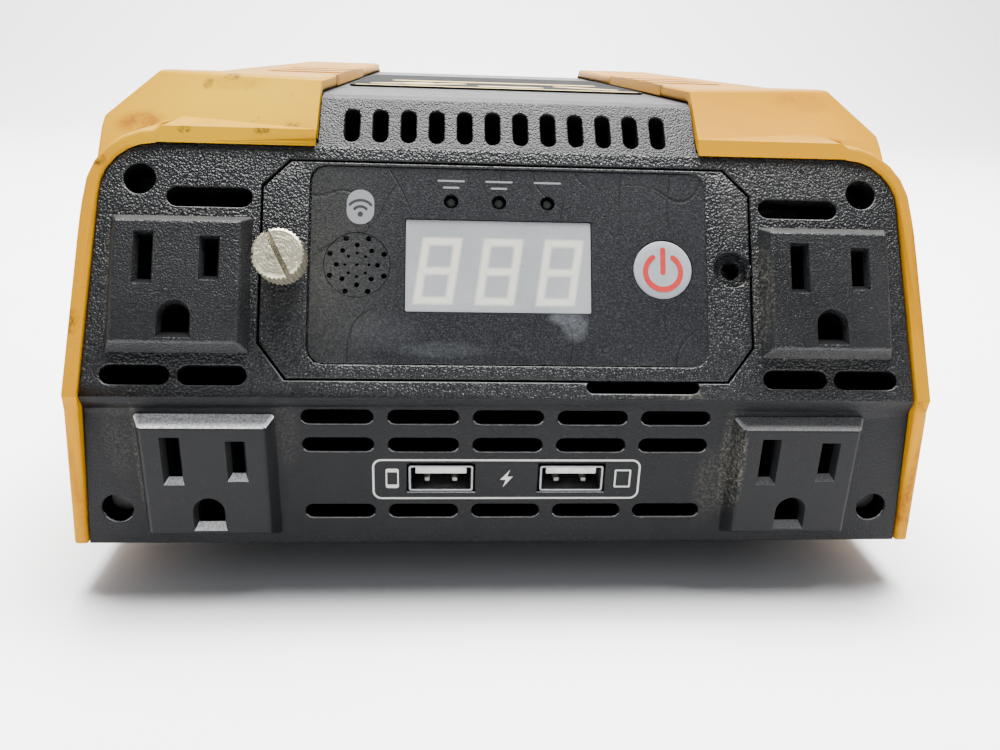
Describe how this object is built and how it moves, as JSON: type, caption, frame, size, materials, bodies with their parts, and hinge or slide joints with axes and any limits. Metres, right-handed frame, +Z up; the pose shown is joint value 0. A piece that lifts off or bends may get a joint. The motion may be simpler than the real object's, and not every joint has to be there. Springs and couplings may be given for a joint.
{
  "type": "power inverter",
  "caption": "Portable power inverter: ribbed corner bumpers, mains outlets, USB ports, removable display panel, rear fans and battery studs.",
  "frame": {"origin": "on the table under the middle of the whole inverter, rear studs included", "axes": "+Z up, +Y from the front face to the rear studs, +X to the right seen from the front"},
  "size_m": [0.1836, 0.2452, 0.1026],
  "materials": {
    "black_plastic": "moulded, leather grain",
    "yellow_plastic": "satin moulded",
    "black_metal": "satin black",
    "rubber": "moulded",
    "nickel": "nickel plated, dulled",
    "brass": "turned",
    "knob_red": "moulded",
    "knob_black": "moulded",
    "circuit_board": "solder mask",
    "display_face": "milky filter",
    "display_body": "moulded",
    "overlay_film": "satin film",
    "label_film": "printed film",
    "lamp": "unlit lamp",
    "button_face": "satin",
    "capacitor_sleeve": "shrink sleeve",
    "winding": "varnished winding",
    "aluminium": "extruded"
  },
  "bodies": {
    "chassis": {"capacitor": "capacitor_sleeve", "fan_left_frame": "black_plastic", "fan_left_guard": "black_metal", "fan_right_frame": "black_plastic", "fan_right_guard": "black_metal", "foot_front_left": "rubber", "foot_front_right": "rubber", "foot_rear_left": "rubber", "foot_rear_right": "rubber", "front_bumper_left": "yellow_plastic", "front_bumper_right": "yellow_plastic", "front_cap": "black_plastic", "front_screw_lower_left": "nickel", "front_screw_lower_right": "nickel", "front_screw_upper_left": "nickel", "front_screw_upper_right": "nickel", "ground_screw": "nickel", "heat_sink_left": "aluminium", "heat_sink_right": "aluminium", "housing_sleeve": "black_metal", "main_board": "circuit_board", "outlet_lower_left": "black_plastic", "outlet_lower_right": "black_plastic", "outlet_upper_left": "black_plastic", "outlet_upper_right": "black_plastic", "rear_bumper_left": "yellow_plastic", "rear_bumper_right": "yellow_plastic", "rear_cap": "black_plastic", "rear_screw_lower_left": "nickel", "rear_screw_lower_right": "nickel", "rear_screw_upper_left": "nickel", "rear_screw_upper_right": "nickel", "side_rail_left": "yellow_plastic", "side_rail_right": "yellow_plastic", "terminal_block": "black_plastic", "terminal_stud_negative": "brass", "terminal_stud_positive": "brass", "top_label": "label_film", "transformer_left": "winding", "transformer_right": "winding", "usb_board": "circuit_board", "usb_port_left": "nickel", "usb_port_right": "nickel"},
    "remote_panel": {"remote_housing": "black_plastic", "remote_overlay": "overlay_film", "display_window": "display_face", "display_module": "display_body", "remote_board": "circuit_board", "remote_back": "black_plastic", "indicator_input": "lamp", "indicator_output": "lamp", "indicator_power": "lamp", "buzzer": "black_plastic", "button_switch": "nickel"},
    "power_button": {"power_button": "button_face"},
    "thumbscrew": {"thumbscrew": "nickel"},
    "fan_left_rotor": {"fan_left_rotor": "black_plastic"},
    "fan_right_rotor": {"fan_right_rotor": "black_plastic"},
    "terminal_knob_positive": {"terminal_knob_positive": "knob_red"},
    "terminal_knob_negative": {"terminal_knob_negative": "knob_black"}
  },
  "joints": [
    {"name": "remote_panel_slide", "type": "slide", "parent": "chassis", "child": "remote_panel", "axis": [0, -0.887, 0.4617], "range_m": [0, 0.032]},
    {"name": "power_button_press", "type": "slide", "parent": "remote_panel", "child": "power_button", "axis": [0, 0.887, -0.4617], "range_m": [0, 0.0006], "stiffness_N_per_m": 600, "springref_m": -0.0006},
    {"name": "thumbscrew_turn", "type": "hinge", "parent": "remote_panel", "child": "thumbscrew", "pos_m": [-0.0453, -0.10892, 0.06834], "axis": [0, -0.887, 0.4617], "continuous": true},
    {"name": "fan_left_spin", "type": "hinge", "parent": "chassis", "child": "fan_left_rotor", "pos_m": [-0.054, 0.0926, 0.0432], "axis": [0, 1, 0], "continuous": true},
    {"name": "fan_right_spin", "type": "hinge", "parent": "chassis", "child": "fan_right_rotor", "pos_m": [0.054, 0.0926, 0.0432], "axis": [0, 1, 0], "continuous": true},
    {"name": "terminal_positive_turn", "type": "hinge", "parent": "chassis", "child": "terminal_knob_positive", "pos_m": [0.015, 0.1146, 0.0452], "axis": [0, 1, 0], "continuous": true},
    {"name": "terminal_negative_turn", "type": "hinge", "parent": "chassis", "child": "terminal_knob_negative", "pos_m": [-0.015, 0.1146, 0.0452], "axis": [0, 1, 0], "continuous": true}
  ]
}
